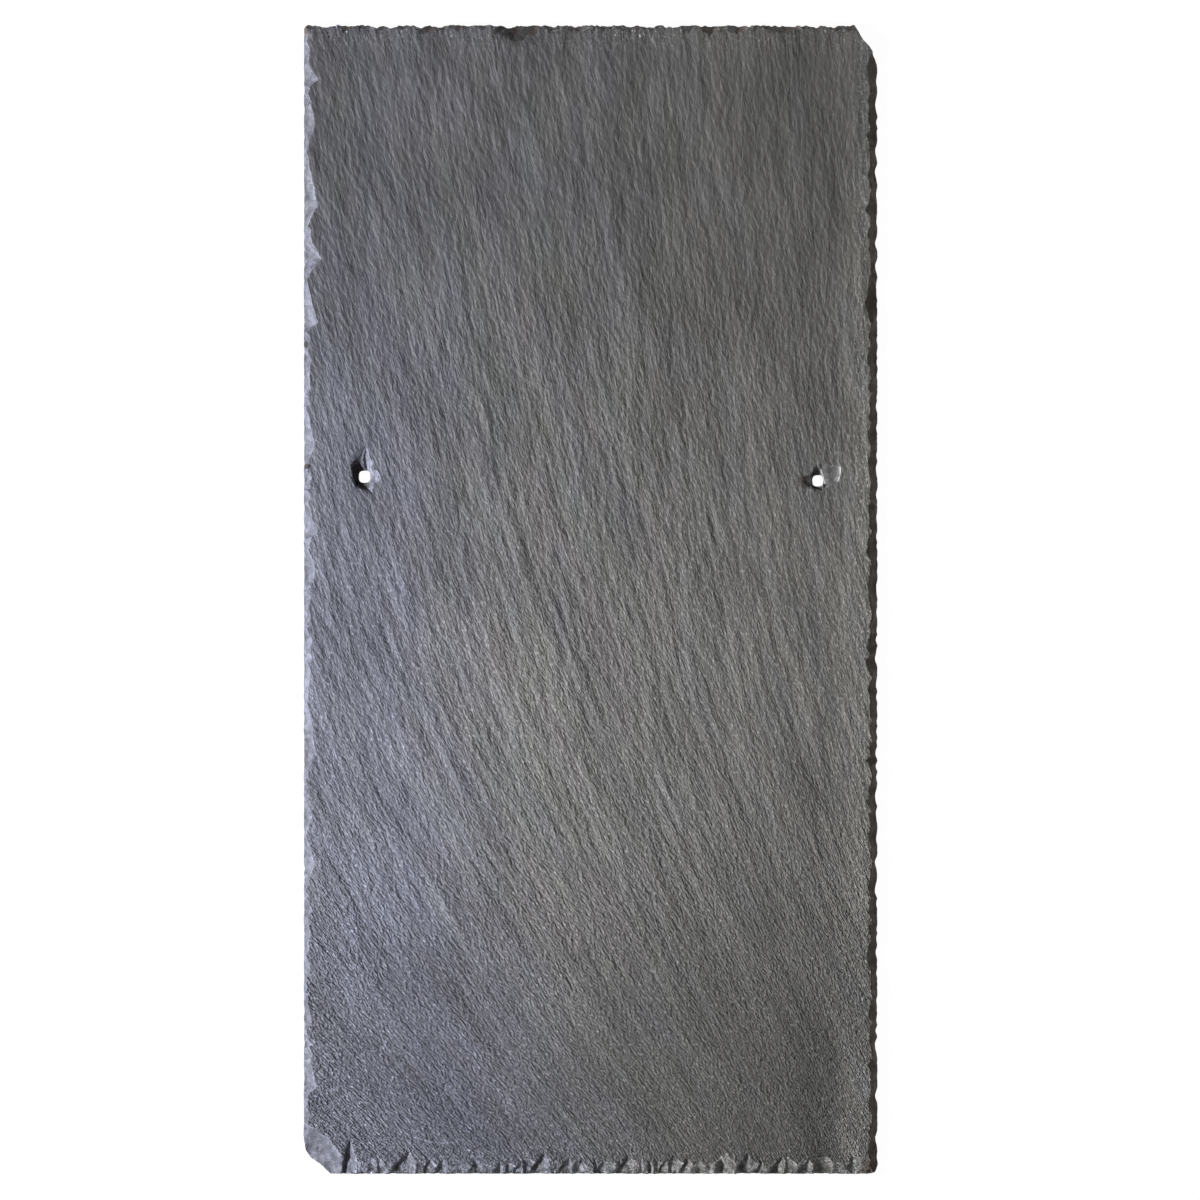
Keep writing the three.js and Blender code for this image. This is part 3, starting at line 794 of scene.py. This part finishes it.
class BrokenPlace(Place):
    """A place on a break, with how far it lies below the riven face, in mm, and how crumbled
    it is."""

    def __init__(self, tree):
        super().__init__(tree)
        self.below = DEPTH - weather_relief(self.x, self.y) - self.z
        self.crumbled = (1 - (self.y - TAIL_Y).ramp(9, 12)) * self.x.ramp(-108, -104)


def mixed(factor, first, second, blend="MIX"):
    return node(factor.tree if isinstance(factor, Value) else second.tree, "ShaderNodeMix",
                {"data_type": "RGBA", "blend_type": blend},
                {0: factor, 6: first, 7: second}, output=2)


def patch(x, y, centre, radii):
    """1 at the centre of an oval, falling softly to 0 past its edge."""
    away = ((x - centre[0]) / radii[0]) ** 2 + ((y - centre[1]) / radii[1]) ** 2
    return 1 - away.ramp(0.4, 1.3)


def roughened(at, height):
    """A height scaled to the stone's roughness: calm in the middle and to the right, and rough
    near the tail."""
    rough = 1.16 - 0.4 * at.middle + 0.06 * at.down.ramp(0.55, 0.8) + 1.15 * at.near_tail
    rough = rough - 0.17 * at.at_right * (1 - 1.15 * at.near_tail)
    return rough * height


def riven_grain(at):
    """The height of the grain in mm, and its threads. It stands up from the face in short
    strands, threads and fibres, each a little steeper on its left, and breaks in low steps."""
    leant = at.across + 0.35 * drawn_out(at.across, at.closer_along, 1.8, 4.6, (9, 0))
    strands = drawn_out(leant, at.closer_along, 1.8, 4.6, (9, 0))
    threads = drawn_out(leant, at.closer_along, 0.9, 2.3, (3, 0))
    fibres = drawn_out(at.across, at.closer_along, 0.72, 1.4, (31, 0))
    steps = drawn_out(at.across, at.along, 7, 40, (40, 2), detail=2)
    grit = cloud(at.cells(GRIT_CELL, GRIT_CELL, GRIT_CELL), detail=1, roughness=0.6)
    strand_height = 0.17 + 0.10 * at.lower_part + 0.04 * at.middle - 0.06 * at.near_tail
    thread_height = 0.07 + 0.12 * at.lower_part
    fibre_height = 0.004 + 0.08 * at.lower_part + 0.08 * at.near_tail
    grit_height = 0.025 + 0.09 * at.lower_part + 0.06 * at.near_tail
    height = strand_height * strands + thread_height * threads + fibre_height * fibres
    height = height + 0.12 * steps.ramp(-0.16, -0.11) + 0.12 * steps.ramp(0.11, 0.16)
    return roughened(at, height + grit_height * grit), threads


def facets(place):
    """Angular cells, each a flat facet tilted its own way: the height over them, a number from
    0 to 1 that is each cell's own, and how near the crack between two cells is."""
    cells, middle = (node(place.tree, "ShaderNodeTexVoronoi", inputs={"Vector": place, "Scale": 1.0},
                          output=which) for which in (1, 2))
    to_middle = node(place.tree, "ShaderNodeVectorMath", {"operation": "SUBTRACT"},
                     {0: place, 1: middle})
    tilt = node(place.tree, "ShaderNodeVectorMath", {"operation": "SUBTRACT"},
                {0: cells, 1: (0.5, 0.5, 0.5)})
    height = node(place.tree, "ShaderNodeVectorMath", {"operation": "DOT_PRODUCT"},
                  {0: to_middle, 1: tilt}, output=1)
    edge = node(place.tree, "ShaderNodeTexVoronoi", {"feature": "DISTANCE_TO_EDGE"},
                {"Vector": place, "Scale": 1.0})
    return height, split(cells)[0], 1 - edge.ramp(0.0, CRACK_WIDTH)


def broken_ends(at):
    """The height of the layers' broken ends in mm, each facet's own shade, and the cracks
    between them. They are angular, and coarser and deeper where the tail has crumbled."""
    grit = cloud(at.cells(GRIT_CELL, GRIT_CELL, GRIT_CELL), detail=1, roughness=0.6)
    height = roughened(at, (0.03 + 0.10 * at.crumbled) * grit)
    cracks = 0
    for size, showing, tilt in FACETS:
        facet, own_shade, crack = facets(at.cells(size, size, size))
        height = height + (showing + (1 - showing) * at.crumbled) * tilt * size * facet
        cracks = cracks + crack * (0.7 * showing + 0.75 * at.crumbled)
    return height, own_shade, cracks.smaller(1)


def blue_tone_and_reflection(at):
    """How blue the stone is: up the left, and past a slanting line towards the tail. Partly the
    stone's own blue and partly a painted cool reflection over the lower left.
    """
    past_line = (at.across / METRE + 0.177 * at.down).ramp(0.015, -0.095)
    blue = (0.35 + 0.65 * at.down.ramp(0.1, 0.45) - 0.15 * at.down.ramp(0.75, 1.0)) * past_line
    patches = 0.22 * drawn_out(at.across, at.along, 16, 45, (5, 0), detail=2)
    return blue + patches + 0.15 * (1 - at.lower_part) * (1 - at.right.ramp(-0.1, 0.3))


def tinted(at, blue, right_grey):
    """The stone's colour, before its shade, its blue partly a painted reflection."""
    reddish = 0.5 + 0.9 * drawn_out(at.across, at.along, 22, 60, (0, 9), detail=1)
    grey = mixed(reddish.within(0, 1), GREY, REDDISH_GREY)
    grey = mixed(at.at_right, grey, right_grey)
    return mixed(blue.within(0, 1), grey, BLUE_GREY)


def riven_tone_and_painted_light(at):
    """How pale a riven face is, partly the stone's own tone and partly painted light: paler down to
    the tail with a painted highlight over the lower left, and darker at the head and to the right as
    painted falloff from the lamp.
    """
    level = 0.63 + 0.32 * at.down.ramp(0.0, 0.65) - 0.05 * at.down.ramp(0.7, 1.05)
    lower_left = 0.06 * at.down.ramp(0.5, 0.75) * (1 - at.right.ramp(0.0, 0.3))
    dark_at_head = 0.08 * patch(at.x, at.y, (-24, HEAD_Y - 14), (14, 30))
    pale_at_head = 0.09 * patch(at.x, at.y, (52, HEAD_Y - 25), (28, 38))
    upper_left = 0.14 * (1 - at.down.ramp(0.05, 0.5)) * at.right.ramp(-0.3, -0.5)
    darker_right = at.right.ramp(-0.2, 0.4) * (0.06 + 0.14 * at.down.ramp(0.4, 1.0))
    level = level + lower_left - dark_at_head + pale_at_head - upper_left - darker_right
    stripe = at.right.ramp(0.33, 0.375) - at.right.ramp(0.41, 0.44)
    level = level - (0.05 + 0.17 * at.down.ramp(0.8, 0.97)) * stripe
    pale_side = 0.24 - 0.11 * (at.down.ramp(0.35, 0.6) - 2 * at.down.ramp(0.85, 0.97))
    lower_patch = 0.05 * patch(at.x, at.y, (-60, -90), (70, 80))
    return level + pale_side * at.right.ramp(0.42, 0.45) + lower_patch


def mottling(at):
    """Soft blotches and long streaks in the stone's shade."""
    blotches = 1 + 0.2 * drawn_out(at.across, at.along, 20, 50, detail=3)
    streaks = 1 + 0.14 * drawn_out(at.across, at.along, 3.5, 45, detail=1)
    return blotches * streaks


def bruising(at):
    """Pale crushed specks along the right side and the head, with tufts and a chalky patch
    under the head."""
    at_rim = at.x.ramp(110, 119).larger(0.9 * at.y.ramp(HEAD_Y - 16, HEAD_Y - 4))
    tufts = at.y.ramp(HEAD_Y - 14, HEAD_Y - 1)
    tufts = tufts * (cloud(vector(at.x / 1.3, at.y / 2.0, 3.0), detail=1) - 0.38).larger(0)
    tufts = tufts * (cloud(vector(at.x / 16, at.y / 16, 6.0)) + 0.3).larger(0)
    chalky = patch(at.x, at.y, (-44, HEAD_Y - 32), (38, 26)) * (
        drawn_out(at.across, at.along, 1.9, 16, (70, 0)) - 0.1).larger(0)
    return 1 + 2.0 * at_rim * at.specks + 18.0 * tufts + 1.0 * chalky


def powder_and_lit_rim(at):
    """The white powder along the thin outlines of the flake right of the right nail hole, brightened
    further as a painted highlight where these risers face the lamp.
    """
    dx = at.x - right_hole[0]
    dy = at.y - right_hole[1]
    near_line = (dx - 2.65 + 0.3 * dy).size().larger((dy - 3.2).size() - 4.8)
    far_line = (dx - 9.7 + 0.065 * (dy - 4) ** 2).size().larger((dy - 2.9).size() - 3.1)
    on_line = 1 - near_line.smaller(far_line).ramp(0.05, 0.35)
    return 1 + 4.0 * on_line * (0.6 + 1.5 * at.specks)


def finished(at, shade, tint, height, marks, head_chip_dirt_and_shade):
    """Shades the tint, lays each mark over it as (how much, colour), and then what both finishes
    share: the rust by the right nail hole, the painted shade with some dirt in the wide chip at the
    head, and the pits painted black as their shade. Gives the tree its surface."""
    colour = mixed(1.0, vector(shade, shade, shade), tint, "MULTIPLY")
    for amount, dirt in marks:
        colour = mixed(amount, colour, dirt)
    rust = patch(at.x - right_hole[0], at.y - right_hole[1], (-5.6, -0.4), (3.6, 2.9))
    colour = mixed(0.65 * rust, colour, RUST)
    # Painted shade, with some dirt: the wide chip at the head faces away from the lamp and is
    # darkened, and the riven face beside it a little, as a soft shadow
    colour = mixed(head_chip_dirt_and_shade * patch(at.x, at.y, (-31, HEAD_Y - 4.5), (11, 6)), colour, HEAD_CHIP_DIRT_AND_SHADE)
    # Painted shade: two small pits are painted black instead of being cut
    for centre, radii in PITS:
        colour = mixed(0.9 * patch(at.x, at.y, centre, radii), colour, PIT_BLACK)
    bump = node(at.tree, "ShaderNodeBump", inputs={"Strength": 1.0, "Distance": 1.0,
                                                   "Height": height * MM})
    surface = node(at.tree, "ShaderNodeBsdfPrincipled",
                   inputs={"Base Color": colour, "Roughness": DULLNESS, "Normal": bump})
    at.tree.links.new(surface.socket, at.tree.nodes.new("ShaderNodeOutputMaterial").inputs[0])


def bare_tree(material):
    material.use_nodes = True
    material.node_tree.nodes.clear()
    return material.node_tree


def riven_finish(material):
    """The split faces: painted highlights brighten the grain where it catches the light, along its
    ridge tops and in small glinting mica specks. One curved scratch crosses the lower left."""
    at = Place(bare_tree(material))
    height, threads = riven_grain(at)
    # Painted highlights: the grain's ridge tops and small mica specks are brightened in the colour,
    # more so towards the tail
    lit_crests = threads.larger(0)
    glinting_flakes = (drawn_out(at.across, at.closer_along, 0.9, 3.2, (60, 0)) - 0.3).larger(0)
    glint = (0.2 + 0.8 * at.lower_part + 0.5 * at.near_tail) * (
        2.0 * lit_crests * lit_crests + 1.3 * glinting_flakes)
    from_centre = (at.x - SCRATCH_CENTRE[0]) ** 2 + (at.y - SCRATCH_CENTRE[1]) ** 2
    from_arc = (from_centre ** 0.5 - SCRATCH_RADIUS).size()
    scratch = (1 - from_arc.ramp(0.05, 0.3)) * at.x.ramp(-79, -75) * (1 - at.x.ramp(-60, -57))
    scratch = scratch * (1 - (at.y - SCRATCH_CENTRE[1]).ramp(-4, 0))
    shade = riven_tone_and_painted_light(at) * mottling(at) * (1 + glint) * bruising(at) * (1 + 1.4 * scratch)
    tint = tinted(at, blue_tone_and_reflection(at), RIVEN_RIGHT_GREY)
    finished(at, shade * powder_and_lit_rim(at), tint, height, marks=(), head_chip_dirt_and_shade=0.3)


def broken_finish(material):
    """The breaks: paler, worn along the rim with a painted highlight there, crumbly at the tail's
    foot with painted light and shade on its crumbled rim, and darkened in their deep hollows as
    painted shade with some dirt, olive at the tail and brown-black in the left crater. They are
    stained brown along the right side and the head, darkened further there as painted shade, and the
    flake by the left nail hole is brightened as painted light."""
    at = BrokenPlace(bare_tree(material))
    height, own_shade, cracks = broken_ends(at)
    level = 0.86 - 0.11 * at.right.ramp(-0.2, 0.4) + 0.22 * at.crumbled
    # Partly crushed wear, partly a painted highlight: a thin pale line along each rim of a break
    rim_wear_and_highlight = 1 - at.below.ramp(0.05, 0.45)
    # Painted shade, with some dirt: a break grows darker the deeper it lies below the riven face,
    # olive in the tail's hollows
    hollow_dirt_and_shade = at.below.ramp(1.6, 3.6) * (0.5 + cloud(at.cells(3, 3, 3), detail=1)).within(0, 1)
    layers = cloud(vector((at.x + at.y) / 0.9, (at.x - at.y) / 4.5, at.z / 0.8))
    # Painted light and shade: the crumbled foot of the tail is brightened in specks with dark gaps,
    # as if catching the lamp
    at_foot = at.crumbled * (1 - (at.y - TAIL_Y).ramp(0.9, 2.0))
    crumb_light_and_shade = cloud(at.cells(0.7, 0.7, 0.7)).larger(-0.15)
    # Painted light: the flake right of the left nail hole is brightened as lit
    flake = patch(at.x, at.y, (left_hole[0] + 3, left_hole[1] + 2), (6, 10))
    shade = BREAK_PALENESS * level * mottling(at) * bruising(at) * powder_and_lit_rim(at)
    shade = shade * (1 + 0.5 * rim_wear_and_highlight + 0.4 * flake) * (1 + 0.6 * (own_shade - 0.5))
    shade = shade * (1 - 0.5 * hollow_dirt_and_shade) * (1 - 0.4 * cracks)
    shade = shade * (1 + at.crumbled * (0.15 + 0.6 * layers) + 3.8 * at_foot * crumb_light_and_shade)
    # The chips up the left side get extra blue, partly as a painted cool reflection from the lamp's
    # side
    blue = blue_tone_and_reflection(at) + 0.3 * (0 - at.right).ramp(0.3, 0.45)
    # Painted shade on a real stain: the brown along the right side and the head is darker than the
    # stone, as these facets face away from the lamp
    head_stain_and_shade = 0.6 - 1.6 * cloud(vector(at.x / 9, 21.0), detail=1, dimensions="2D")
    head_stain_and_shade = at.y.ramp(HEAD_Y - 6, HEAD_Y - 3) * head_stain_and_shade.within(0, 0.85)
    # Painted shade, with some dirt: the deep pocket left of the left nail hole turns brown-black
    # where its floor lies in shadow
    from_hole = ((at.x - left_hole[0] + 2.0) ** 2 + (at.y - left_hole[1] - 1.0) ** 2) ** 0.5
    crater_dirt_and_shade = (1 - from_hole.ramp(5.5, 8.5)) * at.below.ramp(1.1, 2.4)
    marks = ((0.6 * hollow_dirt_and_shade * at.crumbled, OLIVE_DIRT_AND_SHADE),
             (at.right.ramp(0.465, 0.48).larger(head_stain_and_shade), SIDE_STAIN_AND_SHADE),
             (0.85 * crater_dirt_and_shade, CRATER_DIRT_AND_SHADE))
    finished(at, shade, tinted(at, blue, BROKEN_RIGHT_GREY), height, marks, head_chip_dirt_and_shade=0.75)


riven_finish(riven)
broken_finish(broken)


# The floor, the light and the camera
# The slate lies flat on a plain pale floor under one soft lamp to its lower left.

FLOOR_SIZE = 8
FLOOR_GREY = (0.6, 0.6, 0.6, 1)
SEEN_WHITE = 1.08
SEEN_SHARE = 0.9
SKY_STRENGTH = 0.2
LAMP_PLACE = (-1.18, -0.22, 0.8)
LAMP_SIZE = 0.2
LAMP_POWER = 28.2
LENS = 200
SENSOR = 36
VIEW_ACROSS = 521.0 * MM
VIEW_CENTRE = (4.0 * MM, -0.2 * MM)
FARTHEST_SEEN = 20

bpy.ops.mesh.primitive_plane_add(size=FLOOR_SIZE)
floor = bpy.context.object
floor.name = "floor"
pale = bpy.data.materials.new("pale_floor")
pale_tree = bare_tree(pale)
matt = node(pale_tree, "ShaderNodeBsdfPrincipled",
            inputs={"Base Color": FLOOR_GREY, "Roughness": 0.9})
white = node(pale_tree, "ShaderNodeEmission",
             inputs={"Color": (1, 1, 1, 1), "Strength": SEEN_WHITE})
seen = [node(pale_tree, "ShaderNodeLightPath", output=kind)
        for kind in ("Is Camera Ray", "Is Glossy Ray", "Is Transmission Ray")]
lit = node(pale_tree, "ShaderNodeMixShader",
           inputs={0: SEEN_SHARE * seen[0].larger(seen[1]).larger(seen[2]), 1: matt, 2: white})
pale_tree.links.new(lit.socket, pale_tree.nodes.new("ShaderNodeOutputMaterial").inputs[0])
wear(floor, pale)

world = bpy.data.worlds.new("studio")
bpy.context.scene.world = world
world.use_nodes = True
world.node_tree.nodes["Background"].inputs["Color"].default_value = (1, 1, 1, 1)
world.node_tree.nodes["Background"].inputs["Strength"].default_value = SKY_STRENGTH

bpy.ops.object.light_add(type="AREA", location=LAMP_PLACE)
lamp = bpy.context.object
lamp.name = "window"
lamp.data.size = LAMP_SIZE
lamp.data.energy = LAMP_POWER
lamp.rotation_euler = (-lamp.location).to_track_quat("-Z", "Y").to_euler()

bpy.ops.object.camera_add(
    location=(*VIEW_CENTRE, THICKNESS + VIEW_ACROSS * LENS / SENSOR), rotation=(0, 0, 0))
camera = bpy.context.object
camera.data.lens = LENS
camera.data.sensor_width = SENSOR
camera.data.clip_end = FARTHEST_SEEN
bpy.context.scene.camera = camera
bpy.context.scene.view_settings.view_transform = "Standard"
